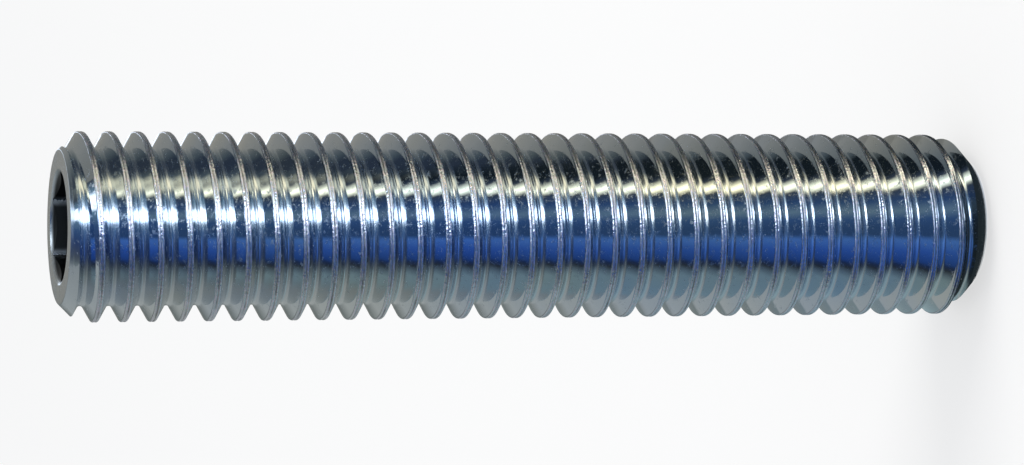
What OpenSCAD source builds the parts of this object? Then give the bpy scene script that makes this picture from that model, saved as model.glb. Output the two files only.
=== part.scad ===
// Grub set screw: a headless steel screw with a right-hand thread over its whole length.
// It stands on its flat point with the hexagon socket up, and the origin is the middle of the point.

/* [Thread] */
// Diameter over the crests
thread_d = 9.85; // [9:0.05:12]
// Advance of the thread in one turn
pitch = 1.5; // [1:0.05:1.75]
// Angle between the two flanks of a groove
flank_angle = 60; // [55:1:65]
// Width of the narrow land on top of the crest
crest_land = 0.26; // [0.1:0.01:0.3]
// Width of the floor of the groove
root_land = 0.18; // [0.1:0.01:0.3]

/* [Body] */
// Length over both end faces
screw_length = 50; // [20:1:60]
// Diameter of the flat point
point_d = 7; // [5:0.1:7.6]
// Diameter of the flat rim round the socket
rim_d = 8; // [7:0.1:8.2]
// Slope of the bevel at each end, from the axis
bevel_angle = 45; // [35:1:55]

/* [Socket] */
// Width of the hexagon socket across its flats
socket_af = 5; // [4:0.1:5.5]
// Depth of the hexagon below the rim
socket_depth = 6; // [3:0.5:10]
// Diameter of the countersink at the mouth
mouth_d = 6; // [5.8:0.1:6.6]
// Angle across the countersink
mouth_angle = 120; // [90:5:130]
// Angle across the drilled cone at the bottom
drill_angle = 118; // [90:1:140]
// Turn of the hexagon about the axis
socket_turn = 10; // [0:5:55]

/* [Facets] */
// Facets round each turn of the thread
turn_facets = 36; // [24:4:40]

/* [Hidden] */

crest_r = thread_d / 2;
flank_run = (pitch - crest_land - root_land) / 2;
root_r = crest_r - flank_run / tan(flank_angle / 2);
snap = 0.01; // corners this close to an end face lie in it
spill = 0.5; // how far the socket's cutters reach above the rim
cone_facets = 72;

// Corners of the thread's profile along one pitch, each with its height and its radius.
// A groove floor ends at the first, the crest runs between the next two, and the last is the next floor.
profile = [
    [0, root_r],
    [flank_run, crest_r],
    [flank_run + crest_land, crest_r],
    [2 * flank_run + crest_land, root_r]
];
corners = len(profile);
turns = ceil(screw_length / pitch) + 2;
columns = corners * turns;

// Radius that the bevels of both ends leave at a height
function bevel_r(z) = min(
    point_d / 2 + z * tan(bevel_angle),
    rim_d / 2 + (screw_length - z) * tan(bevel_angle)
);

// Corner number c of the profile at facet j, as height and radius, before the ends are bevelled
function raw_corner(c, j) =
    let (k = floor(c / corners), p = profile[c - corners * k])
    [p[0] + pitch * (k - 1 + j / turn_facets), p[1]];

// Where the line from a foot below the bevel to a corner above it meets the bevel
function meeting(foot, top) =
    let (a = bevel_r(foot[0]) - foot[1], b = top[1] - bevel_r(top[0]), t = a / (a + b))
    foot + t * (top - foot);

// The same corner once the ends are bevelled
function corner(c, j) =
    let (p = raw_corner(c, j), part = c % corners)
    p[1] <= bevel_r(p[0]) ? p :
    part == 0 || part == 3 ? [p[0], bevel_r(p[0])] :
    let (foot = raw_corner(part == 1 ? c - 1 : c + 1, j))
    foot[1] < bevel_r(foot[0]) ? meeting(foot, p) : [p[0], bevel_r(p[0])];

// Radius of the thread at a height, at facet j
function thread_r(z, j) =
    let (s = z / pitch - j / turn_facets, w = (s - floor(s)) * pitch)
    w < profile[1][0] ? root_r + w / flank_run * (crest_r - root_r) :
    w < profile[2][0] ? crest_r :
    w < profile[3][0] ? crest_r - (w - profile[2][0]) / flank_run * (crest_r - root_r) :
    root_r;

function place(p, j) =
    let (a = 360 * j / turn_facets)
    [p[1] * cos(a), p[1] * sin(a), p[0]];

function end_r(z, j) = min(bevel_r(z), thread_r(z, j));

low_ring = columns * turn_facets;
high_ring = low_ring + turn_facets;
low_middle = high_ring + turn_facets;
high_middle = low_middle + 1;

// Number of the point at corner c and facet j, where what lies past an end face is drawn onto its edge
function point_at(c, j) =
    let (lap = floor(j / turn_facets), i = j - lap * turn_facets, z = corner(c, j)[0])
    z < snap ? low_ring + i :
    z > screw_length - snap ? high_ring + i :
    (c + corners * lap) * turn_facets + i;

function facet(a, b, c) = a == b || b == c || a == c ? [] : [[a, b, c]];

module threaded_rod() {
    points = [
        for (c = [0:columns - 1], j = [0:turn_facets - 1]) place(corner(c, j), j),
        for (z = [0, screw_length], j = [0:turn_facets - 1]) place([z, end_r(z, j)], j),
        [0, 0, 0],
        [0, 0, screw_length]
    ];
    faces = [
        for (c = [0:columns - 2], j = [0:turn_facets - 1])
            let (
                a = point_at(c, j), b = point_at(c + 1, j),
                d = point_at(c + 1, j + 1), e = point_at(c, j + 1)
            )
            each concat(facet(a, b, d), facet(a, d, e)),
        for (j = [0:turn_facets - 1])
            let (i = (j + 1) % turn_facets)
            each [
                [low_middle, low_ring + j, low_ring + i],
                [high_middle, high_ring + i, high_ring + j]
            ]
    ];
    polyhedron(points = points, faces = faces);
}

// A hexagon with a drilled cone under it and a countersink that trims its corners at the mouth
module hexagon_socket() {
    corner_r = socket_af / 2 / cos(30);
    drill_h = socket_af / 2 / tan(drill_angle / 2);
    mouth_slope = tan(mouth_angle / 2);
    mouth_h = mouth_d / 2 / mouth_slope;
    translate([0, 0, screw_length - socket_depth]) rotate(socket_turn)
        cylinder(r = corner_r, h = socket_depth + spill, $fn = 6);
    translate([0, 0, screw_length - socket_depth - drill_h])
        cylinder(r1 = 0, r2 = socket_af / 2, h = drill_h, $fn = cone_facets);
    translate([0, 0, screw_length - mouth_h])
        cylinder(r1 = 0, r2 = mouth_d / 2 + spill * mouth_slope, h = mouth_h + spill, $fn = cone_facets);
}

module set_screw() {
    color("#9fb0c2")
    difference() {
        threaded_rod();
        hexagon_socket();
    }
}

set_screw();
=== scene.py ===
import math
import bpy
from mathutils import Matrix, Vector


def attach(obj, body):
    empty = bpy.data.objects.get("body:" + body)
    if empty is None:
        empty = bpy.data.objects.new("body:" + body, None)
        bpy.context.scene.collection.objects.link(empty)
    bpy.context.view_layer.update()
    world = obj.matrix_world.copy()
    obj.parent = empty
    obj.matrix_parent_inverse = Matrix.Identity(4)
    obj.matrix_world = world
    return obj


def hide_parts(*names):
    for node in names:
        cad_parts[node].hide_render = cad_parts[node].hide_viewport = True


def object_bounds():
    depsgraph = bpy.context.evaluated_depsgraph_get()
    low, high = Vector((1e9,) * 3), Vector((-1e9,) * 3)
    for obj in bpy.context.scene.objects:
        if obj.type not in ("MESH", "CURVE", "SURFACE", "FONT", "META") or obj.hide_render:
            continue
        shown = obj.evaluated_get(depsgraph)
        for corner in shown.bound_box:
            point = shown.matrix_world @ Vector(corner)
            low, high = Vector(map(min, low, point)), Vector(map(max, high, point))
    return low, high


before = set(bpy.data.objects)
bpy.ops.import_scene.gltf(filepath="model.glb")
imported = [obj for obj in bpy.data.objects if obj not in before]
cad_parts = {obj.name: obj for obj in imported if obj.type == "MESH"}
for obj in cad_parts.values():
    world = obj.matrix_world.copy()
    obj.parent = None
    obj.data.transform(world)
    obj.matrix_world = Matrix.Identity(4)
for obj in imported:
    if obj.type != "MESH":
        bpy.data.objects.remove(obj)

# A headless set screw: one steel rod with a rolled thread, bright zinc plated, standing on a pale floor.
# Lengths in the dictionaries are millimetres and angles are degrees.

cadLow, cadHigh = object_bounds()
mm = 0.001
scene = bpy.context.scene


def linearColour(hexText):
    # sRGB hex to the linear values that nodes take
    parts = [int(hexText[i:i + 2], 16) / 255 for i in (1, 3, 5)]
    return [c / 12.92 if c < 0.04045 else ((c + 0.055) / 1.055) ** 2.4 for c in parts] + [1.0]


def addNode(tree, kind, settings=None, feeds=None):
    # one node with its settings; an input takes a value, a socket, or a tuple of sockets
    node = tree.nodes.new(kind)
    feeds = feeds or {}
    for name, value in (settings or {}).items():
        setattr(node, name, value)
    while hasattr(node, "index_switch_items") and len(node.index_switch_items) < len(feeds) - 1:
        node.index_switch_items.new()  # an index switch has an item for each feed after its index
    for key, value in feeds.items():
        sockets = value if isinstance(value, tuple) else (value,)
        for one in sockets:
            if isinstance(one, bpy.types.NodeSocket):
                tree.links.new(one, node.inputs[key])
            else:
                node.inputs[key].default_value = one
    return node


def openTree(name, inputs):
    # a geometry tree with one geometry output and the named inputs, and the sockets they come from
    tree = bpy.data.node_groups.new(name, "GeometryNodeTree")
    for label, kind in inputs.items():
        tree.interface.new_socket(name=label, in_out="INPUT", socket_type="NodeSocket" + kind)
    tree.interface.new_socket(name="Geometry", in_out="OUTPUT", socket_type="NodeSocketGeometry")
    start = addNode(tree, "NodeGroupInput")
    return tree, {label: start.outputs[label] for label in inputs}


def openMaterial(name):
    # a material whose node tree is still empty, and that tree
    material = bpy.data.materials.new(name)
    material.use_nodes = True
    material.node_tree.nodes.clear()
    return material, material.node_tree


# The screw: a thread climbs round the axis, a bevelled blank trims it, and the socket is cut out.
screwSizes = {
    "Pitch": 1.5,
    "Crest Radius": (cadHigh.x - cadLow.x) / mm / 2,
    "First Crest": 0.66,  # height of a crest's middle above the point, on the +X side
    "Crest Width": 0.26,
    "Root Width": 0.26,
    "Flank Slope": 60,  # of each flank, from the axis
    "Crest Round": 0.09,
    "Root Round": 0.22,
    "Seam Width": 0.1,  # rolling folds the metal of both flanks together along the crest
    "Seam Depth": 0.03,
    "Seam Round": 0.03,
    "Length": (cadHigh.z - cadLow.z) / mm,
    "Point Radius": 3.5,
    "Rim Radius": 4.0,
    "Bevel Slope": 45,
    "Edge Round": 0.1,
    "Socket Across": 5.0,
    "Socket Depth": 6.0,
    "Socket Turn": 10,
    "Mouth Radius": 3.0,
    "Mouth Slope": 60,  # of the countersink, from the axis
    "Drill Slope": 59,  # of the cone that the drill left, from the axis
    "Smooth Below": 20,  # edges that turn by less are shaded as one surface
    "Sides": 96,
    "Corner Steps": 4,
    "Seam Steps": 1,
}
slopes = ("Flank Slope", "Bevel Slope", "Socket Turn", "Mouth Slope", "Drill Slope", "Smooth Below")
counts = ("Sides", "Corner Steps", "Seam Steps")
threadCorners = 9  # the seam's bottom, and four on each side of it
blankCorners = 8  # four for the point, and four for the rim
spareTurns = 2  # of thread under the point and over the rim, which the blank trims off
spill = 0.5 * mm  # how far the thread and the cutters reach past the end faces
bevelReach = 1.0 * mm  # how far the blank's bevels run out past the crests
weldDistance = 0.0005 * mm  # points of a turned surface that are nearer to each other become one


def turnedSurface():
    # a group that turns a wire profile (x is radius, z is height) round Z, climbing by Lead each turn
    tree, size = openTree("turnedSurface", {
        "Profile": "Geometry", "Sides": "Int", "Repeats": "Int", "Lead": "Float", "Low": "Float",
        "High": "Float"})
    points = addNode(tree, "GeometryNodeAttributeDomainSize", {"component": "MESH"}, {0: size["Profile"]})
    steps = addNode(tree, "FunctionNodeIntegerMath", {"operation": "SUBTRACT"}, {
        0: points.outputs["Point Count"], 1: 1})
    columns = addNode(tree, "FunctionNodeIntegerMath", {"operation": "MULTIPLY_ADD"}, {
        0: steps.outputs[0], 1: size["Repeats"], 2: 1})
    rows = addNode(tree, "FunctionNodeIntegerMath", {"operation": "ADD"}, {0: size["Sides"], 1: 1})
    grid = addNode(tree, "GeometryNodeMeshGrid", None, {
        "Vertices X": columns.outputs[0], "Vertices Y": rows.outputs[0]})

    # each point of the grid: its corner of the profile, and which repeat and side of the turn it belongs to
    index = addNode(tree, "GeometryNodeInputIndex")
    column = addNode(tree, "FunctionNodeIntegerMath", {"operation": "DIVIDE_FLOOR"}, {
        0: index.outputs[0], 1: rows.outputs[0]})
    row = addNode(tree, "FunctionNodeIntegerMath", {"operation": "MODULO"}, {
        0: index.outputs[0], 1: rows.outputs[0]})
    lastRepeat = addNode(tree, "FunctionNodeIntegerMath", {"operation": "SUBTRACT"}, {
        0: size["Repeats"], 1: 1})
    wholeTurns = addNode(tree, "FunctionNodeIntegerMath", {"operation": "DIVIDE_FLOOR"}, {
        0: column.outputs[0], 1: steps.outputs[0]})
    repeat = addNode(tree, "FunctionNodeIntegerMath", {"operation": "MINIMUM"}, {
        0: wholeTurns.outputs[0], 1: lastRepeat.outputs[0]})
    before = addNode(tree, "FunctionNodeIntegerMath", {"operation": "MULTIPLY"}, {
        0: repeat.outputs[0], 1: steps.outputs[0]})
    corner = addNode(tree, "FunctionNodeIntegerMath", {"operation": "SUBTRACT"}, {
        0: column.outputs[0], 1: before.outputs[0]})
    position = addNode(tree, "GeometryNodeInputPosition")
    sample = addNode(tree, "GeometryNodeSampleIndex", {"data_type": "FLOAT_VECTOR", "domain": "POINT"}, {
        "Geometry": size["Profile"], "Value": position.outputs[0], "Index": corner.outputs[0]})
    place = addNode(tree, "ShaderNodeSeparateXYZ", None, {0: sample.outputs[0]})
    share = addNode(tree, "ShaderNodeMath", {"operation": "DIVIDE"}, {0: row.outputs[0], 1: size["Sides"]})
    climbed = addNode(tree, "ShaderNodeMath", {"operation": "ADD"}, {
        0: repeat.outputs[0], 1: share.outputs[0]})
    height = addNode(tree, "ShaderNodeMath", {"operation": "MULTIPLY_ADD"}, {
        0: climbed.outputs[0], 1: size["Lead"], 2: place.outputs["Z"]})

    # what lies past Low or High closes on the axis
    kept = addNode(tree, "ShaderNodeClamp", None, {
        "Value": height.outputs[0], "Min": size["Low"], "Max": size["High"]})
    inside = addNode(tree, "FunctionNodeCompare", {"operation": "EQUAL", "data_type": "FLOAT"}, {
        "A": height.outputs[0], "B": kept.outputs[0], "Epsilon": 0.0})
    radius = addNode(tree, "ShaderNodeMath", {"operation": "MULTIPLY"}, {
        0: place.outputs["X"], 1: inside.outputs[0]})
    flat = addNode(tree, "ShaderNodeCombineXYZ", None, {"X": radius.outputs[0], "Z": kept.outputs[0]})
    angle = addNode(tree, "ShaderNodeMath", {"operation": "MULTIPLY"}, {0: share.outputs[0], 1: math.tau})
    turned = addNode(tree, "ShaderNodeVectorRotate", {"rotation_type": "Z_AXIS"}, {
        "Vector": flat.outputs[0], "Angle": angle.outputs[0]})
    placed = addNode(tree, "GeometryNodeSetPosition", None, {
        "Geometry": grid.outputs["Mesh"], "Position": turned.outputs[0]})
    closed = addNode(tree, "GeometryNodeMergeByDistance", None, {
        "Geometry": placed.outputs[0], "Distance": weldDistance})
    outward = addNode(tree, "GeometryNodeFlipFaces", None, {0: closed.outputs[0]})
    addNode(tree, "NodeGroupOutput", None, {0: outward.outputs[0]})
    return tree


def roundedWire(tree, corners, places, rounding, cornerSteps):
    # a polyline through the places, its corners rounded, as a wire for turnedSurface
    line = addNode(tree, "GeometryNodeCurvePrimitiveLine")
    spaced = addNode(tree, "GeometryNodeResampleCurve", {"mode": "COUNT"}, {
        "Curve": line.outputs[0], "Count": corners})
    drawn = addNode(tree, "GeometryNodeSetPosition", None, {
        "Geometry": spaced.outputs[0], "Position": places})
    rounded = addNode(tree, "GeometryNodeFilletCurve", {"mode": "POLY"}, {
        "Curve": drawn.outputs[0], "Count": cornerSteps, "Radius": rounding, "Limit Radius": True})
    return addNode(tree, "GeometryNodeCurveToMesh", None, {0: rounded.outputs[0]}).outputs[0]


def setScrewTree(turnedGroup):
    kinds = {label: "Int" if label in counts else "Float" for label in screwSizes}
    tree, size = openTree("setScrew", {**kinds, "Finish": "Material"})
    index = addNode(tree, "GeometryNodeInputIndex").outputs[0]

    # thread profile, alike on both sides of the crest's middle: the seam's bottom and edge, the crest's edge,
    # the flank's foot and the middle of the groove
    tangent = addNode(tree, "ShaderNodeMath", {"operation": "TANGENT"}, {0: size["Flank Slope"]})
    lands = addNode(tree, "ShaderNodeMath", {"operation": "ADD"}, {
        0: size["Crest Width"], 1: size["Root Width"]})
    flanks = addNode(tree, "ShaderNodeMath", {"operation": "SUBTRACT"}, {
        0: size["Pitch"], 1: lands.outputs[0]})
    run = addNode(tree, "ShaderNodeMath", {"operation": "MULTIPLY"}, {0: flanks.outputs[0], 1: 0.5})
    depth = addNode(tree, "ShaderNodeMath", {"operation": "MULTIPLY"}, {
        0: run.outputs[0], 1: tangent.outputs[0]})
    halfPitch = addNode(tree, "ShaderNodeMath", {"operation": "MULTIPLY"}, {0: size["Pitch"], 1: 0.5})
    halfSeam = addNode(tree, "ShaderNodeMath", {"operation": "MULTIPLY"}, {0: size["Seam Width"], 1: 0.5})
    halfCrest = addNode(tree, "ShaderNodeMath", {"operation": "MULTIPLY"}, {0: size["Crest Width"], 1: 0.5})
    foot = addNode(tree, "ShaderNodeMath", {"operation": "ADD"}, {0: run.outputs[0], 1: halfCrest.outputs[0]})
    rootRadius = addNode(tree, "ShaderNodeMath", {"operation": "SUBTRACT"}, {
        0: size["Crest Radius"], 1: depth.outputs[0]})
    seamRadius = addNode(tree, "ShaderNodeMath", {"operation": "SUBTRACT"}, {
        0: size["Crest Radius"], 1: size["Seam Depth"]})
    fromSeam = addNode(tree, "FunctionNodeIntegerMath", {"operation": "SUBTRACT"}, {
        0: index, 1: threadCorners // 2})
    cornerKind = addNode(tree, "FunctionNodeIntegerMath", {"operation": "ABSOLUTE"}, {0: fromSeam.outputs[0]})
    side = addNode(tree, "FunctionNodeIntegerMath", {"operation": "SIGN"}, {0: fromSeam.outputs[0]})
    away = addNode(tree, "GeometryNodeIndexSwitch", {"data_type": "FLOAT"}, {
        0: cornerKind.outputs[0], 1: 0.0, 2: halfSeam.outputs[0], 3: halfCrest.outputs[0],
        4: foot.outputs[0], 5: halfPitch.outputs[0]})
    radius = addNode(tree, "GeometryNodeIndexSwitch", {"data_type": "FLOAT"}, {
        0: cornerKind.outputs[0], 1: seamRadius.outputs[0], 2: size["Crest Radius"], 3: size["Crest Radius"],
        4: rootRadius.outputs[0], 5: rootRadius.outputs[0]})
    rounding = addNode(tree, "GeometryNodeIndexSwitch", {"data_type": "FLOAT"}, {
        0: cornerKind.outputs[0], 1: size["Seam Round"], 2: size["Seam Round"], 3: size["Crest Round"],
        4: size["Root Round"], 5: 0.0})
    fineSteps = addNode(tree, "GeometryNodeIndexSwitch", {"data_type": "FLOAT"}, {
        0: cornerKind.outputs[0], 1: size["Seam Steps"], 2: size["Seam Steps"], 3: size["Corner Steps"],
        4: size["Corner Steps"], 5: 1})
    crestHeight = addNode(tree, "ShaderNodeMath", {"operation": "MULTIPLY_ADD"}, {
        0: size["Pitch"], 1: -spareTurns, 2: size["First Crest"]})
    height = addNode(tree, "ShaderNodeMath", {"operation": "MULTIPLY_ADD"}, {
        0: away.outputs[0], 1: side.outputs[0], 2: crestHeight.outputs[0]})
    threadLine = addNode(tree, "ShaderNodeCombineXYZ", None, {
        "X": radius.outputs[0], "Z": height.outputs[0]})
    threadWire = roundedWire(
        tree, threadCorners, threadLine.outputs[0], rounding.outputs[0], fineSteps.outputs[0])

    # blank profile: axis, face, face edge and far out along the bevel, for the point and then for the rim
    fromTop = addNode(tree, "FunctionNodeIntegerMath", {"operation": "SUBTRACT"}, {
        0: blankCorners - 1, 1: index})
    blankKind = addNode(tree, "FunctionNodeIntegerMath", {"operation": "MINIMUM"}, {
        0: index, 1: fromTop.outputs[0]})
    atRim = addNode(tree, "FunctionNodeCompare", {"operation": "GREATER_EQUAL", "data_type": "INT"}, {
        2: index, 3: blankCorners // 2})
    faceRadius = addNode(tree, "GeometryNodeSwitch", {"input_type": "FLOAT"}, {
        0: atRim.outputs[0], 1: size["Point Radius"], 2: size["Rim Radius"]})
    innerRadius = addNode(tree, "ShaderNodeMath", {"operation": "MULTIPLY_ADD"}, {
        0: size["Edge Round"], 1: -2.0, 2: faceRadius.outputs[0]})  # leaves room for the rounded edge
    farRadius = addNode(tree, "ShaderNodeMath", {"operation": "ADD"}, {
        0: size["Crest Radius"], 1: bevelReach})
    bevelRun = addNode(tree, "ShaderNodeMath", {"operation": "SUBTRACT"}, {
        0: farRadius.outputs[0], 1: faceRadius.outputs[0]})
    bevelTangent = addNode(tree, "ShaderNodeMath", {"operation": "TANGENT"}, {0: size["Bevel Slope"]})
    bevelHeight = addNode(tree, "ShaderNodeMath", {"operation": "DIVIDE"}, {
        0: bevelRun.outputs[0], 1: bevelTangent.outputs[0]})
    blankRadius = addNode(tree, "GeometryNodeIndexSwitch", {"data_type": "FLOAT"}, {
        0: blankKind.outputs[0], 1: 0.0, 2: innerRadius.outputs[0], 3: faceRadius.outputs[0],
        4: farRadius.outputs[0]})
    blankInset = addNode(tree, "GeometryNodeIndexSwitch", {"data_type": "FLOAT"}, {
        0: blankKind.outputs[0], 1: 0.0, 2: 0.0, 3: 0.0, 4: bevelHeight.outputs[0]})
    blankRound = addNode(tree, "GeometryNodeIndexSwitch", {"data_type": "FLOAT"}, {
        0: blankKind.outputs[0], 1: 0.0, 2: 0.0, 3: size["Edge Round"], 4: 0.0})
    fromRim = addNode(tree, "ShaderNodeMath", {"operation": "SUBTRACT"}, {
        0: size["Length"], 1: blankInset.outputs[0]})
    blankHeight = addNode(tree, "GeometryNodeSwitch", {"input_type": "FLOAT"}, {
        0: atRim.outputs[0], 1: blankInset.outputs[0], 2: fromRim.outputs[0]})
    blankLine = addNode(tree, "ShaderNodeCombineXYZ", None, {
        "X": blankRadius.outputs[0], "Z": blankHeight.outputs[0]})
    blankWire = roundedWire(
        tree, blankCorners, blankLine.outputs[0], blankRound.outputs[0], size["Corner Steps"])

    # both are turned, and the rod is what they share
    turns = addNode(tree, "ShaderNodeMath", {"operation": "DIVIDE"}, {0: size["Length"], 1: size["Pitch"]})
    allTurns = addNode(tree, "ShaderNodeMath", {"operation": "ADD"}, {0: turns.outputs[0], 1: 2 * spareTurns})
    past = addNode(tree, "ShaderNodeMath", {"operation": "ADD"}, {0: size["Length"], 1: spill})
    thread = addNode(tree, "GeometryNodeGroup", {"node_tree": turnedGroup}, {
        "Profile": threadWire, "Sides": size["Sides"], "Repeats": allTurns.outputs[0], "Lead": size["Pitch"],
        "Low": -spill, "High": past.outputs[0]})
    blank = addNode(tree, "GeometryNodeGroup", {"node_tree": turnedGroup}, {
        "Profile": blankWire, "Sides": size["Sides"], "Repeats": 1, "Lead": 0.0,
        "Low": -spill, "High": past.outputs[0]})
    rod = addNode(tree, "GeometryNodeMeshBoolean", {"operation": "INTERSECT", "solver": "MANIFOLD"}, {
        "Mesh 2": (thread.outputs[0], blank.outputs[0])})

    # socket: a six-sided hole, the cone that the drill left under it and the countersink at its mouth
    hexRadius = addNode(tree, "ShaderNodeMath", {"operation": "MULTIPLY"}, {
        0: size["Socket Across"], 1: 0.5 / math.cos(math.pi / 6)})
    hexHeight = addNode(tree, "ShaderNodeMath", {"operation": "ADD"}, {0: size["Socket Depth"], 1: spill})
    floorHeight = addNode(tree, "ShaderNodeMath", {"operation": "SUBTRACT"}, {
        0: size["Length"], 1: size["Socket Depth"]})
    hexMiddle = addNode(tree, "ShaderNodeMath", {"operation": "MULTIPLY_ADD"}, {
        0: hexHeight.outputs[0], 1: 0.5, 2: floorHeight.outputs[0]})
    hexPlace = addNode(tree, "ShaderNodeCombineXYZ", None, {"Z": hexMiddle.outputs[0]})
    hexTurn = addNode(tree, "ShaderNodeCombineXYZ", None, {"Z": size["Socket Turn"]})
    hexPrism = addNode(tree, "GeometryNodeMeshCylinder", None, {
        "Vertices": 6, "Radius": hexRadius.outputs[0], "Depth": hexHeight.outputs[0]})
    hexagon = addNode(tree, "GeometryNodeTransform", None, {
        "Geometry": hexPrism.outputs[0], "Translation": hexPlace.outputs[0], "Rotation": hexTurn.outputs[0]})
    drillRadius = addNode(tree, "ShaderNodeMath", {"operation": "MULTIPLY"}, {
        0: size["Socket Across"], 1: 0.5})
    drillTangent = addNode(tree, "ShaderNodeMath", {"operation": "TANGENT"}, {0: size["Drill Slope"]})
    drillDepth = addNode(tree, "ShaderNodeMath", {"operation": "DIVIDE"}, {
        0: drillRadius.outputs[0], 1: drillTangent.outputs[0]})
    drillLow = addNode(tree, "ShaderNodeMath", {"operation": "SUBTRACT"}, {
        0: floorHeight.outputs[0], 1: drillDepth.outputs[0]})
    drillPlace = addNode(tree, "ShaderNodeCombineXYZ", None, {"Z": drillLow.outputs[0]})
    drillCone = addNode(tree, "GeometryNodeMeshCone", None, {
        "Vertices": size["Sides"], "Radius Top": drillRadius.outputs[0], "Radius Bottom": 0.0,
        "Depth": drillDepth.outputs[0]})
    drill = addNode(tree, "GeometryNodeTransform", None, {
        "Geometry": drillCone.outputs[0], "Translation": drillPlace.outputs[0]})
    mouthTangent = addNode(tree, "ShaderNodeMath", {"operation": "TANGENT"}, {0: size["Mouth Slope"]})
    mouthDepth = addNode(tree, "ShaderNodeMath", {"operation": "DIVIDE"}, {
        0: size["Mouth Radius"], 1: mouthTangent.outputs[0]})
    mouthLow = addNode(tree, "ShaderNodeMath", {"operation": "SUBTRACT"}, {
        0: size["Length"], 1: mouthDepth.outputs[0]})
    mouthHeight = addNode(tree, "ShaderNodeMath", {"operation": "ADD"}, {0: mouthDepth.outputs[0], 1: spill})
    mouthTop = addNode(tree, "ShaderNodeMath", {"operation": "MULTIPLY"}, {
        0: mouthHeight.outputs[0], 1: mouthTangent.outputs[0]})
    mouthPlace = addNode(tree, "ShaderNodeCombineXYZ", None, {"Z": mouthLow.outputs[0]})
    mouthCone = addNode(tree, "GeometryNodeMeshCone", None, {
        "Vertices": size["Sides"], "Radius Top": mouthTop.outputs[0], "Radius Bottom": 0.0,
        "Depth": mouthHeight.outputs[0]})
    mouth = addNode(tree, "GeometryNodeTransform", None, {
        "Geometry": mouthCone.outputs[0], "Translation": mouthPlace.outputs[0]})
    cut = addNode(tree, "GeometryNodeMeshBoolean", {"operation": "DIFFERENCE", "solver": "MANIFOLD"}, {
        "Mesh 1": rod.outputs[0], "Mesh 2": (hexagon.outputs[0], drill.outputs[0], mouth.outputs[0])})

    # round surfaces are shaded smooth, and their sharp edges stay sharp
    edgeAngle = addNode(tree, "GeometryNodeInputMeshEdgeAngle")
    gentle = addNode(tree, "FunctionNodeCompare", {"operation": "LESS_THAN", "data_type": "FLOAT"}, {
        "A": edgeAngle.outputs[0], "B": size["Smooth Below"]})
    smooth = addNode(tree, "GeometryNodeSetShadeSmooth", {"domain": "FACE"}, {"Geometry": cut.outputs[0]})
    creased = addNode(tree, "GeometryNodeSetShadeSmooth", {"domain": "EDGE"}, {
        "Geometry": smooth.outputs[0], "Shade Smooth": gentle.outputs[0]})
    whole = addNode(tree, "GeometryNodeRealizeInstances", None, {"Geometry": creased.outputs[0]})
    plated = addNode(tree, "GeometryNodeSetMaterial", None, {
        "Geometry": whole.outputs[0], "Material": size["Finish"]})
    addNode(tree, "NodeGroupOutput", None, {0: plated.outputs[0]})
    return tree


def buildScrew(finish):
    # the tree's result becomes a plain mesh, and the object that held the tree goes
    host = bpy.data.objects.new("screwHost", bpy.data.meshes.new("screwHost"))
    scene.collection.objects.link(host)
    build = host.modifiers.new("build", "NODES")
    build.node_group = setScrewTree(turnedSurface())
    values = {"Finish": finish}
    for label, value in screwSizes.items():
        if label in slopes:
            values[label] = math.radians(value)
        elif label in counts:
            values[label] = value
        else:
            values[label] = value * mm
    for item in build.node_group.interface.items_tree:
        if item.in_out == "INPUT":
            build[item.identifier] = values[item.name]
    evaluated = host.evaluated_get(bpy.context.evaluated_depsgraph_get())
    mesh = bpy.data.meshes.new_from_object(evaluated)
    mesh.name = "plated_screw"
    screw = bpy.data.objects.new("plated_screw", mesh)
    scene.collection.objects.link(screw)
    bpy.data.objects.remove(host)
    return screw


# Bright zinc plate over rolled steel. The rolled flanks mirror the room sharply, the lands of the crest and
# the groove are grained along the turn and sparkle, and the thin blue passivation drifts from cold blue to
# grey. A range is the noise's value where something starts to show and its value where it is whole.
zincPlate = {
    "coldTint": "#BFCBDA",
    "greyTint": "#CDD2D3",
    "tintPatch": 7.0,
    "tintRange": (0.35, 0.65),
    "crestTint": "#DAD5E4",  # lavender flecks where the passivation wears thin along the crest
    "fleckRange": (0.45, 0.62),
    "crestFade": (0.095, 0.02),  # the crest's finish starts and is whole this far under its radius
    "grooveFade": (0.16, 0.05),  # and the groove's this far over its floor
    "seamDarkColour": "#6E6A66",  # a darker colour painted along the middle of the crest's seam
    "seamReach": 1.3,  # how far the darker colour reaches from the seam's middle, in half seam widths
    "seamDarkRange": (0.4, 0.62),
    "seamDarkShare": 0.75,
    "flankRoughness": 0.03,
    "scuffRoughness": 0.4,
    "scuffSize": 0.35,
    "scuffRange": (0.52, 0.72),
    "crestRoughness": 0.3,
    "grooveRoughness": 0.18,
    "grainAcross": 0.08,  # real rolling marks are finer, but they wouldn't show in the picture
    "grainLength": 1.2,
    "grainDepth": 0.006,
    "grainRange": (0.3, 0.7),
    "grainDulling": (0.5, 1.6),  # what the grain makes of the roughness of the lands, as a factor
    "pitSize": 0.14,
    "pitDepth": 0.032,
    "rippleSize": 0.9,
    "rippleDepth": 0.002,
    "socketPaintedShade": "#17191B",  # painted shade inside the socket, so that it reads as a dark hole
    "socketShadeShare": 0.98,  # how much of the bright plate the painted shade covers
    "socketFade": (0.02, 0.3),  # the socket's painted shade and dull roughness start and are whole this far inside the mouth
    "socketRoughness": 0.45,
}


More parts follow.
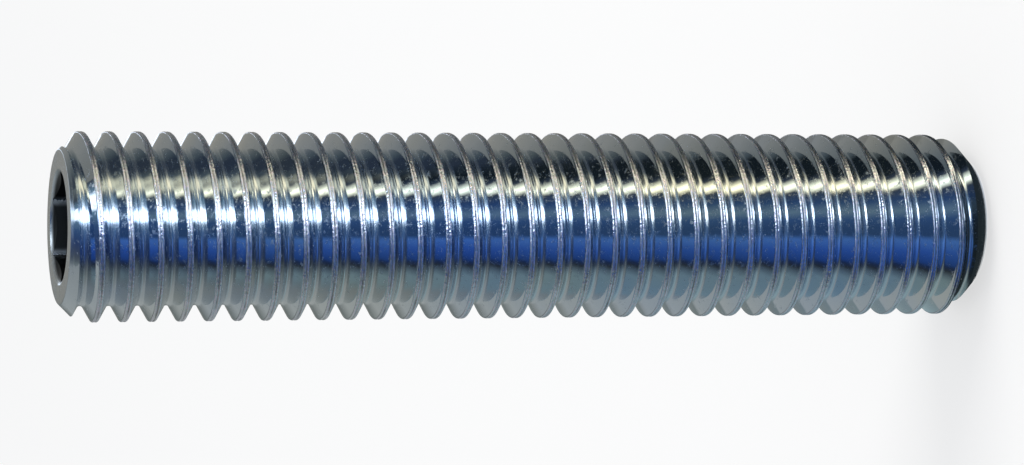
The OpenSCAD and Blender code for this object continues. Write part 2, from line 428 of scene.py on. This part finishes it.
def brightZincPlate(finish, size):
    material, tree = openMaterial("brightZincPlate")
    flankRun = (size["Pitch"] - size["Crest Width"] - size["Root Width"]) / 2
    rootRadius = size["Crest Radius"] - flankRun * math.tan(math.radians(size["Flank Slope"]))

    # where a point lies on the thread: its radius, its share of a turn and its share of the pitch
    texture = addNode(tree, "ShaderNodeTexCoord")
    inMm = addNode(tree, "ShaderNodeVectorMath", {"operation": "SCALE"}, {
        0: texture.outputs["Object"], "Scale": 1 / mm})
    place = addNode(tree, "ShaderNodeSeparateXYZ", None, {0: inMm.outputs[0]})
    outward = addNode(tree, "ShaderNodeVectorMath", {"operation": "MULTIPLY"}, {
        0: inMm.outputs[0], 1: [1, 1, 0]})
    radius = addNode(tree, "ShaderNodeVectorMath", {"operation": "LENGTH"}, {0: outward.outputs[0]})
    angle = addNode(tree, "ShaderNodeMath", {"operation": "ARCTAN2"}, {
        0: place.outputs["Y"], 1: place.outputs["X"]})
    turn = addNode(tree, "ShaderNodeMath", {"operation": "DIVIDE"}, {0: angle.outputs[0], 1: math.tau})
    pitches = addNode(tree, "ShaderNodeMath", {"operation": "DIVIDE"}, {
        0: place.outputs["Z"], 1: size["Pitch"]})
    climb = addNode(tree, "ShaderNodeMath", {"operation": "SUBTRACT"}, {
        0: pitches.outputs[0], 1: turn.outputs[0]})

    # rolling grain: noise drawn round two circles, so that it runs on along the helix without a joint
    around = addNode(tree, "ShaderNodeVectorMath", {"operation": "NORMALIZE"}, {0: outward.outputs[0]})
    along = addNode(tree, "ShaderNodeVectorMath", {"operation": "SCALE"}, {
        0: around.outputs[0], "Scale": size["Crest Radius"] / finish["grainLength"]})
    lane = addNode(tree, "ShaderNodeMath", {"operation": "MULTIPLY"}, {0: climb.outputs[0], 1: math.tau})
    laneCos = addNode(tree, "ShaderNodeMath", {"operation": "COSINE"}, {0: lane.outputs[0]})
    laneSin = addNode(tree, "ShaderNodeMath", {"operation": "SINE"}, {0: lane.outputs[0]})
    lanes = size["Pitch"] / finish["grainAcross"] / math.tau
    across = addNode(tree, "ShaderNodeMath", {"operation": "MULTIPLY_ADD"}, {
        0: laneCos.outputs[0], 1: lanes, 2: pitches.outputs[0]})
    acrossToo = addNode(tree, "ShaderNodeMath", {"operation": "MULTIPLY"}, {0: laneSin.outputs[0], 1: lanes})
    acrossPlace = addNode(tree, "ShaderNodeCombineXYZ", None, {"Z": across.outputs[0]})
    grainPlace = addNode(tree, "ShaderNodeVectorMath", {"operation": "ADD"}, {
        0: along.outputs[0], 1: acrossPlace.outputs[0]})
    grain = addNode(tree, "ShaderNodeTexNoise", {"noise_dimensions": "4D"}, {
        "Vector": grainPlace.outputs[0], "W": acrossToo.outputs[0], "Scale": 1.0, "Detail": 3.0,
        "Roughness": 0.6})

    # the lands, told from the flanks by their radius, and the seam by its place in the pitch
    crestStart, crestWhole = finish["crestFade"]
    onCrest = addNode(tree, "ShaderNodeMapRange", {"interpolation_type": "SMOOTHSTEP"}, {
        "Value": radius.outputs["Value"], "From Min": size["Crest Radius"] - crestStart,
        "From Max": size["Crest Radius"] - crestWhole})
    grooveStart, grooveWhole = finish["grooveFade"]
    inGroove = addNode(tree, "ShaderNodeMapRange", {"interpolation_type": "SMOOTHSTEP"}, {
        "Value": radius.outputs["Value"], "From Min": rootRadius + grooveStart,
        "From Max": rootRadius + grooveWhole})
    onLand = addNode(tree, "ShaderNodeMath", {"operation": "MAXIMUM"}, {
        0: onCrest.outputs[0], 1: inGroove.outputs[0]})
    fromSeam = addNode(tree, "ShaderNodeMath", {"operation": "SUBTRACT"}, {
        0: climb.outputs[0], 1: size["First Crest"] / size["Pitch"]})
    seamTurn = addNode(tree, "ShaderNodeMath", {"operation": "MULTIPLY"}, {
        0: fromSeam.outputs[0], 1: math.tau})
    seamCos = addNode(tree, "ShaderNodeMath", {"operation": "COSINE"}, {0: seamTurn.outputs[0]})
    seamEdge = math.cos(math.pi * size["Seam Width"] / size["Pitch"] * finish["seamReach"])
    inSeam = addNode(tree, "ShaderNodeMapRange", {"interpolation_type": "SMOOTHSTEP"}, {
        "Value": seamCos.outputs[0], "From Min": seamEdge, "From Max": 1.0})
    seamCrest = addNode(tree, "ShaderNodeMath", {"operation": "MULTIPLY"}, {
        0: inSeam.outputs[0], 1: onCrest.outputs[0]})

    # the socket lies inside the radius of its mouth, and in the upper half, unlike the middle of the point
    socketStart, socketWhole = finish["socketFade"]
    inMouth = addNode(tree, "ShaderNodeMapRange", {"interpolation_type": "SMOOTHSTEP"}, {
        "Value": radius.outputs["Value"], "From Min": size["Mouth Radius"] - socketStart,
        "From Max": size["Mouth Radius"] - socketWhole})
    upperHalf = addNode(tree, "ShaderNodeMath", {"operation": "GREATER_THAN"}, {
        0: place.outputs["Z"], 1: size["Length"] / 2})
    inSocket = addNode(tree, "ShaderNodeMath", {"operation": "MULTIPLY"}, {
        0: inMouth.outputs[0], 1: upperHalf.outputs[0]})

    # colour: the drifting tint, flecks on the crest, the seam painted darker and painted shade in the socket
    tintNoise = addNode(tree, "ShaderNodeTexNoise", None, {
        "Vector": inMm.outputs[0], "Scale": 1 / finish["tintPatch"], "Detail": 2.0})
    tintMix = addNode(tree, "ShaderNodeMapRange", None, {
        "Value": tintNoise.outputs["Fac"], "From Min": finish["tintRange"][0],
        "From Max": finish["tintRange"][1]})
    tint = addNode(tree, "ShaderNodeMix", {"data_type": "RGBA"}, {
        0: tintMix.outputs[0], 6: linearColour(finish["coldTint"]), 7: linearColour(finish["greyTint"])})
    pitNoise = addNode(tree, "ShaderNodeTexNoise", None, {
        "Vector": inMm.outputs[0], "Scale": 1 / finish["pitSize"], "Detail": 1.0})
    fleck = addNode(tree, "ShaderNodeMapRange", None, {
        "Value": pitNoise.outputs["Fac"], "From Min": finish["fleckRange"][0],
        "From Max": finish["fleckRange"][1]})
    crestFleck = addNode(tree, "ShaderNodeMath", {"operation": "MULTIPLY"}, {
        0: fleck.outputs[0], 1: onCrest.outputs[0]})
    flecked = addNode(tree, "ShaderNodeMix", {"data_type": "RGBA"}, {
        0: crestFleck.outputs[0], 6: tint.outputs[2], 7: linearColour(finish["crestTint"])})
    # the middle of the crest's seam is painted darker, in streaks that follow the grain
    seamStreaks = addNode(tree, "ShaderNodeMapRange", None, {
        "Value": grain.outputs["Fac"], "From Min": finish["seamDarkRange"][0],
        "From Max": finish["seamDarkRange"][1], "To Max": finish["seamDarkShare"]})
    seamDarkening = addNode(tree, "ShaderNodeMath", {"operation": "MULTIPLY"}, {
        0: seamStreaks.outputs[0], 1: seamCrest.outputs[0]})
    threadColour = addNode(tree, "ShaderNodeMix", {"data_type": "RGBA"}, {
        0: seamDarkening.outputs[0], 6: flecked.outputs[2], 7: linearColour(finish["seamDarkColour"])})
    # painted shade: the inside of the socket is coloured near black
    socketShadeMix = addNode(tree, "ShaderNodeMath", {"operation": "MULTIPLY"}, {
        0: inSocket.outputs[0], 1: finish["socketShadeShare"]})
    colour = addNode(tree, "ShaderNodeMix", {"data_type": "RGBA"}, {
        0: socketShadeMix.outputs[0], 6: threadColour.outputs[2], 7: linearColour(finish["socketPaintedShade"])})

    # roughness: bright flanks with a few scuffs, duller lands and a dull socket
    scuffNoise = addNode(tree, "ShaderNodeTexNoise", None, {
        "Vector": inMm.outputs[0], "Scale": 1 / finish["scuffSize"], "Detail": 3.0, "Roughness": 0.65})
    scuff = addNode(tree, "ShaderNodeMapRange", None, {
        "Value": scuffNoise.outputs["Fac"], "From Min": finish["scuffRange"][0],
        "From Max": finish["scuffRange"][1], "To Min": finish["flankRoughness"],
        "To Max": finish["scuffRoughness"]})
    landBase = addNode(tree, "ShaderNodeMix", {"data_type": "FLOAT"}, {
        0: onCrest.outputs[0], 2: finish["grooveRoughness"], 3: finish["crestRoughness"]})
    dulling = addNode(tree, "ShaderNodeMapRange", None, {
        "Value": grain.outputs["Fac"], "From Min": finish["grainRange"][0],
        "From Max": finish["grainRange"][1], "To Min": finish["grainDulling"][0],
        "To Max": finish["grainDulling"][1]})
    landGrain = addNode(tree, "ShaderNodeMath", {"operation": "MULTIPLY"}, {
        0: landBase.outputs[0], 1: dulling.outputs[0]})
    threadRoughness = addNode(tree, "ShaderNodeMix", {"data_type": "FLOAT"}, {
        0: onLand.outputs[0], 2: scuff.outputs[0], 3: landGrain.outputs[0]})
    roughness = addNode(tree, "ShaderNodeMix", {"data_type": "FLOAT"}, {
        0: inSocket.outputs[0], 2: threadRoughness.outputs[0], 3: finish["socketRoughness"]})

    # relief in mm: grain on the lands, pits on the crest and a slow ripple all over
    pits = addNode(tree, "ShaderNodeMath", {"operation": "MULTIPLY"}, {
        0: pitNoise.outputs["Fac"], 1: finish["pitDepth"]})
    crestPits = addNode(tree, "ShaderNodeMath", {"operation": "MULTIPLY"}, {
        0: pits.outputs[0], 1: onCrest.outputs[0]})
    landRelief = addNode(tree, "ShaderNodeMath", {"operation": "MULTIPLY_ADD"}, {
        0: grain.outputs["Fac"], 1: finish["grainDepth"], 2: crestPits.outputs[0]})
    rippleNoise = addNode(tree, "ShaderNodeTexNoise", None, {
        "Vector": inMm.outputs[0], "Scale": 1 / finish["rippleSize"], "Detail": 4.0, "Roughness": 0.6})
    ripple = addNode(tree, "ShaderNodeMath", {"operation": "MULTIPLY"}, {
        0: rippleNoise.outputs["Fac"], 1: finish["rippleDepth"]})
    relief = addNode(tree, "ShaderNodeMath", {"operation": "MULTIPLY_ADD"}, {
        0: landRelief.outputs[0], 1: onLand.outputs[0], 2: ripple.outputs[0]})
    bump = addNode(tree, "ShaderNodeBump", None, {
        "Height": relief.outputs[0], "Distance": mm, "Strength": 1.0})

    metal = addNode(tree, "ShaderNodeBsdfPrincipled", None, {
        "Base Color": colour.outputs[2], "Metallic": 1.0, "Roughness": roughness.outputs[0],
        "Normal": bump.outputs[0]})
    addNode(tree, "ShaderNodeOutputMaterial", None, {"Surface": metal.outputs[0]})
    return material


screw = buildScrew(brightZincPlate(zincPlate, screwSizes))
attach(screw, "root")
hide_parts("set_screw")
print("built the screw:", len(screw.data.polygons), "faces")


# The camera looks from the photograph's side, and is turned about its own axis, so that the standing screw
# lies across the picture.
photoCamera = {
    "azimuth": 69.8,  # the side it looks from; from 0 it would look along +Y
    "distance": 184.2,  # from the screw's axis
    "height": 78.1,
    "aimHeight": 25.8,
    "aimSide": -0.37,  # towards the top of the picture
    "roll": -0.18,
    "lens": 126.56,
    "sensor": 36.0,
    "clipFrom": 5,  # nothing nearer than this is drawn, and nothing further than the next
    "clipTo": 20000,
}


def placeCamera(view):
    azimuth = math.radians(view["azimuth"])
    front = Vector((math.sin(azimuth), -math.cos(azimuth), 0))
    pictureUp = Vector((math.cos(azimuth), math.sin(azimuth), 0))
    eye = (front * view["distance"] + Vector((0, 0, view["height"]))) * mm
    aim = (pictureUp * view["aimSide"] + Vector((0, 0, view["aimHeight"]))) * mm
    back = (eye - aim).normalized()
    right = pictureUp.cross(back).normalized()
    up = back.cross(right)
    turn = Matrix((right, up, back)).transposed() @ Matrix.Rotation(math.radians(view["roll"]), 3, "Z")
    data = bpy.data.cameras.new("photoCamera")
    data.lens = view["lens"]
    data.sensor_width = view["sensor"]
    data.clip_start = view["clipFrom"] * mm
    data.clip_end = view["clipTo"] * mm
    camera = bpy.data.objects.new("photoCamera", data)
    camera.matrix_world = Matrix.Translation(eye) @ turn.to_4x4()
    scene.collection.objects.link(camera)
    scene.camera = camera


placeCamera(photoCamera)
print("placed the camera")


def seenDirectly(tree):
    # 1 for the camera's rays and for those that come by way of a mirror or through glass, else 0
    path = addNode(tree, "ShaderNodeLightPath")
    seen = addNode(tree, "ShaderNodeMath", {"operation": "ADD"}, {
        0: path.outputs["Is Camera Ray"], 1: path.outputs["Is Glossy Ray"]})
    return addNode(tree, "ShaderNodeMath", {"operation": "ADD", "use_clamp": True}, {
        0: seen.outputs[0], 1: path.outputs["Is Transmission Ray"]}).outputs[0]


def stageObject(name, points, faces, material):
    mesh = bpy.data.meshes.new(name)
    mesh.from_pydata(points, [], faces)
    mesh.materials.append(material)
    staged = bpy.data.objects.new(name, mesh)
    scene.collection.objects.link(staged)
    return staged


# Floor: pale, and nearly white where it is seen, but it keeps the screw's shadow.
floorSettings = {
    "size": 6000,
    "colour": "#F4F4F4",
    "white": "#FFFFFF",
    "glow": 0.6,  # share of plain white near the screw, which keeps the shadow pale
    "fadeFrom": 250,  # from here the floor turns all white, so that its far edge doesn't show
    "fadeTo": 1200,
}


def paleFloor(settings):
    material, tree = openMaterial("paleFloor")
    paint = addNode(tree, "ShaderNodeBsdfDiffuse", None, {"Color": linearColour(settings["colour"])})
    glow = addNode(tree, "ShaderNodeEmission", None, {
        "Color": linearColour(settings["white"]), "Strength": 1.0})
    texture = addNode(tree, "ShaderNodeTexCoord")
    away = addNode(tree, "ShaderNodeVectorMath", {"operation": "LENGTH"}, {0: texture.outputs["Object"]})
    fade = addNode(tree, "ShaderNodeMapRange", {"interpolation_type": "SMOOTHSTEP"}, {
        "Value": away.outputs["Value"], "From Min": settings["fadeFrom"] * mm,
        "From Max": settings["fadeTo"] * mm, "To Min": settings["glow"], "To Max": 1.0})
    share = addNode(tree, "ShaderNodeMath", {"operation": "MULTIPLY"}, {
        0: seenDirectly(tree), 1: fade.outputs[0]})
    surface = addNode(tree, "ShaderNodeMixShader", None, {
        0: share.outputs[0], 1: paint.outputs[0], 2: glow.outputs[0]})
    addNode(tree, "ShaderNodeOutputMaterial", None, {"Surface": surface.outputs[0]})
    half = settings["size"] / 2 * mm
    corners = [(-half, -half, 0), (half, -half, 0), (half, half, 0), (-half, half, 0)]
    floor = stageObject("floor", corners, [(0, 1, 2, 3)], material)


paleFloor(floorSettings)
print("laid the floor")


# What the bright metal mirrors: a bowl of painted cloth round the screw that only reflections see. Low cards
# stand round its foot, the darker room with its lamp strips is above them, and the bevel of the rim mirrors
# the ceiling. A band is its place, its cloth and its brightness, and the colour drifts from one band to the
# next. Places round the screw are degrees from the camera's side, those on the ceiling are mm from the
# middle, and both rise towards the top of the picture.
tentSettings = {
    "foot": 3.6,  # radius, just outside the point's face
    "footHeight": 0.05,
    "slope": 20,  # of the bowl, from the floor
    "wall": 300,  # radius of the upright wall that the bowl runs into
    "height": 600,  # of the wall's top, where the ceiling is
    "lip": 1,  # what is less than this under the top is painted as ceiling
    "sides": 72,
    "footShade": "darkCloth",  # painted shade round the foot: dark cloth that stands in for the shaded floor under the point, which its bevel mirrors
    "footShadeFade": (0.8, 1.2),  # heights between which the painted shade gives way to the low cards
    "cardFade": (17, 23),  # and the cards to the high room
    "cloths": {
        "warmWall": "#96958F",
        "greyWall": "#A0A4A3",
        "clothGrey": "#808887",
        "paleTeal": "#9CB1B5",
        "dustyBlue": "#718089",
        "slate": "#4A515A",
        "darkCloth": "#283034",
        "navy": "#32446A",
        "blueBoard": "#426EC4",
        "boardEdge": "#6292DC",
        "steelBlue": "#42608A",
        "hazeBlue": "#7C9DB4",
        "paleSky": "#A0BED2",
        "lampWhite": "#E8F2FF",
        "lampWarm": "#FFF1CA",
    },
    # a teal wall, the blue board, blue cloth, a warm strip, dark cloth, a warm wall, and a white strip that
    # the views from behind show
    "lowCards": [
        (-180, "clothGrey", 1.0), (-160, "clothGrey", 1.0), (-130, "paleTeal", 1.0), (-76, "paleTeal", 0.95),
        (-66, "dustyBlue", 1.0), (-59, "slate", 0.7), (-53, "navy", 0.9), (-49, "blueBoard", 0.6),
        (-34, "blueBoard", 1.0), (-20, "boardEdge", 1.0), (-14, "steelBlue", 0.95), (-4, "steelBlue", 1.0),
        (6, "steelBlue", 1.3), (16, "paleSky", 0.7), (29, "steelBlue", 1.1), (43, "slate", 1.4),
        (47, "lampWarm", 2.2), (51, "lampWarm", 5.0), (56, "lampWarm", 2.2), (62, "slate", 1.3),
        (70, "darkCloth", 0.95), (104, "darkCloth", 0.8), (115, "clothGrey", 0.6), (150, "warmWall", 0.85),
        (168, "warmWall", 0.85), (170, "lampWhite", 1.2), (173, "lampWhite", 1.2), (175, "clothGrey", 1.0),
    ],
    # a grey wall, blue cloth, the bright lamp strip, a warm strip, slate, a warm wall and the same white strip
    "highRoom": [
        (-180, "warmWall", 1.0), (-168, "clothGrey", 0.75), (-156, "greyWall", 1.2), (-142, "greyWall", 1.2),
        (-100, "greyWall", 1.0), (-76, "clothGrey", 0.95), (-58, "slate", 1.1), (-46, "navy", 0.95),
        (-28, "navy", 1.3), (-10, "steelBlue", 1.3), (2, "hazeBlue", 1.0), (6, "lampWhite", 1.1),
        (10, "lampWhite", 8.5), (20, "lampWhite", 8.5), (25, "lampWhite", 1.3), (32, "paleSky", 1.1),
        (41, "hazeBlue", 0.9), (52, "clothGrey", 1.0), (58, "lampWarm", 1.7), (68, "lampWarm", 1.7),
        (77, "clothGrey", 0.8), (88, "slate", 0.95), (106, "slate", 0.9), (118, "clothGrey", 0.65),
        (150, "warmWall", 1.05), (169, "warmWall", 1.05), (170.5, "lampWhite", 2.0),
        (173, "lampWhite", 2.0), (174.5, "warmWall", 1.0),
    ],
    # blue and grey cloth to both sides of a lamp
    "ceiling": [
        (-300, "clothGrey", 1.0), (-230, "slate", 1.2), (-120, "navy", 1.1), (-30, "steelBlue", 0.9),
        (40, "hazeBlue", 0.8), (62, "lampWhite", 3.0), (112, "lampWhite", 3.0), (140, "hazeBlue", 0.9),
        (200, "slate", 1.0), (300, "clothGrey", 0.8),
    ],
}


def paintedCloth(settings, cameraAzimuth):
    # the bands round the bowl, low and high, the painted shade round the foot under them and the ceiling's
    # bands over them
    material, tree = openMaterial("paintedCloth")
    texture = addNode(tree, "ShaderNodeTexCoord")
    turned = addNode(tree, "ShaderNodeMapping", None, {
        "Vector": texture.outputs["Object"], "Rotation": [0, 0, math.radians(90 - cameraAzimuth)]})
    around = addNode(tree, "ShaderNodeTexGradient", {"gradient_type": "RADIAL"}, {
        "Vector": turned.outputs[0]})
    place = addNode(tree, "ShaderNodeSeparateXYZ", None, {0: turned.outputs[0]})
    across = addNode(tree, "ShaderNodeMapRange", None, {
        "Value": place.outputs["Y"], "From Min": -settings["wall"] * mm, "From Max": settings["wall"] * mm})
    painted = []
    for name, whole, share in (
            ("lowCards", 360, around.outputs["Fac"]),
            ("highRoom", 360, around.outputs["Fac"]),
            ("ceiling", 2 * settings["wall"], across.outputs[0])):
        bands = settings[name]
        ramp = addNode(tree, "ShaderNodeValToRGB", None, {"Fac": share})
        while len(ramp.color_ramp.elements) < len(bands):
            ramp.color_ramp.elements.new(0.5)
        for stop, (bandPlace, cloth, brightness) in zip(ramp.color_ramp.elements, bands):
            stop.position = bandPlace / whole + 0.5  # place 0 is the ramp's middle
            stop.color = [c * brightness for c in linearColour(settings["cloths"][cloth])]
        painted.append(ramp.outputs[0])
    footShadeTop, cardFoot = settings["footShadeFade"]
    aboveFootShade = addNode(tree, "ShaderNodeMapRange", {"interpolation_type": "SMOOTHSTEP"}, {
        "Value": place.outputs["Z"], "From Min": footShadeTop * mm, "From Max": cardFoot * mm})
    cardTop, roomFoot = settings["cardFade"]
    aboveCards = addNode(tree, "ShaderNodeMapRange", {"interpolation_type": "SMOOTHSTEP"}, {
        "Value": place.outputs["Z"], "From Min": cardTop * mm, "From Max": roomFoot * mm})
    onTop = addNode(tree, "ShaderNodeMath", {"operation": "GREATER_THAN"}, {
        0: place.outputs["Z"], 1: (settings["height"] - settings["lip"]) * mm})
    # painted shade: dark cloth round the foot, where the floor under the point would lie in shade
    lower = addNode(tree, "ShaderNodeMix", {"data_type": "RGBA"}, {
        0: aboveFootShade.outputs[0], 6: linearColour(settings["cloths"][settings["footShade"]]), 7: painted[0]})
    walls = addNode(tree, "ShaderNodeMix", {"data_type": "RGBA"}, {
        0: aboveCards.outputs[0], 6: lower.outputs[2], 7: painted[1]})
    colour = addNode(tree, "ShaderNodeMix", {"data_type": "RGBA"}, {
        0: onTop.outputs[0], 6: walls.outputs[2], 7: painted[2]})
    glow = addNode(tree, "ShaderNodeEmission", None, {"Color": colour.outputs[2], "Strength": 1.0})
    addNode(tree, "ShaderNodeOutputMaterial", None, {"Surface": glow.outputs[0]})
    return material


def mirrorTent(settings, cameraAzimuth):
    bowlHeight = (settings["wall"] - settings["foot"]) * math.tan(math.radians(settings["slope"]))
    profile = [
        (settings["foot"], settings["footHeight"]),
        (settings["wall"], bowlHeight),
        (settings["wall"], settings["height"]),
    ]
    sides = settings["sides"]
    points = []
    for radius, height in profile:
        for side in range(sides):
            angle = math.tau * side / sides
            points.append((radius * mm * math.cos(angle), radius * mm * math.sin(angle), height * mm))
    faces = []
    for low in range(0, (len(profile) - 1) * sides, sides):
        high = low + sides
        for side in range(sides):
            after = (side + 1) % sides
            faces.append((low + side, low + after, high + after, high + side))
    faces.append(tuple(range(len(points) - sides, len(points))))  # the ceiling
    tent = stageObject("mirrorTent", points, faces, paintedCloth(settings, cameraAzimuth))
    tent.visible_camera = False
    tent.visible_diffuse = False
    tent.visible_transmission = False
    tent.visible_shadow = False


mirrorTent(tentSettings, photoCamera["azimuth"])
print("hung the tent")


# One large soft lamp from the top left of the picture gives the floor its shadow. The metal mirrors the tent
# instead.
lampSettings = {
    "azimuth": 150,  # counted as the camera's
    "elevation": 50,
    "distance": 700,
    "size": 350,
    "watts": 2.0,
    "colour": "#FFFDF8",
}


def softLamp(settings):
    azimuth = math.radians(settings["azimuth"])
    elevation = math.radians(settings["elevation"])
    level = math.cos(elevation)
    toLamp = Vector((math.sin(azimuth) * level, -math.cos(azimuth) * level, math.sin(elevation)))
    facing = toLamp.to_track_quat("Z", "Y").to_matrix().to_4x4()
    data = bpy.data.lights.new("softLamp", "AREA")
    data.size = settings["size"] * mm
    data.energy = settings["watts"]
    data.color = linearColour(settings["colour"])[:3]
    lamp = bpy.data.objects.new("softLamp", data)
    lamp.matrix_world = Matrix.Translation(toLamp * settings["distance"] * mm) @ facing
    lamp.visible_glossy = False
    scene.collection.objects.link(lamp)


softLamp(lampSettings)
print("lit the lamp")


# The room is even and pale, and white where it is seen.
roomSettings = {
    "light": "#DFE1E4",
    "white": "#FFFFFF",
}


def paleRoom(settings):
    world = bpy.data.worlds.new("paleRoom")
    scene.world = world
    world.use_nodes = True
    tree = world.node_tree
    tree.nodes.clear()
    colour = addNode(tree, "ShaderNodeMix", {"data_type": "RGBA"}, {
        0: seenDirectly(tree), 6: linearColour(settings["light"]), 7: linearColour(settings["white"])})
    light = addNode(tree, "ShaderNodeBackground", None, {"Color": colour.outputs[2], "Strength": 1.0})
    addNode(tree, "ShaderNodeOutputWorld", None, {"Surface": light.outputs[0]})


paleRoom(roomSettings)
scene.view_settings.view_transform = "Standard"
print("lit the room")
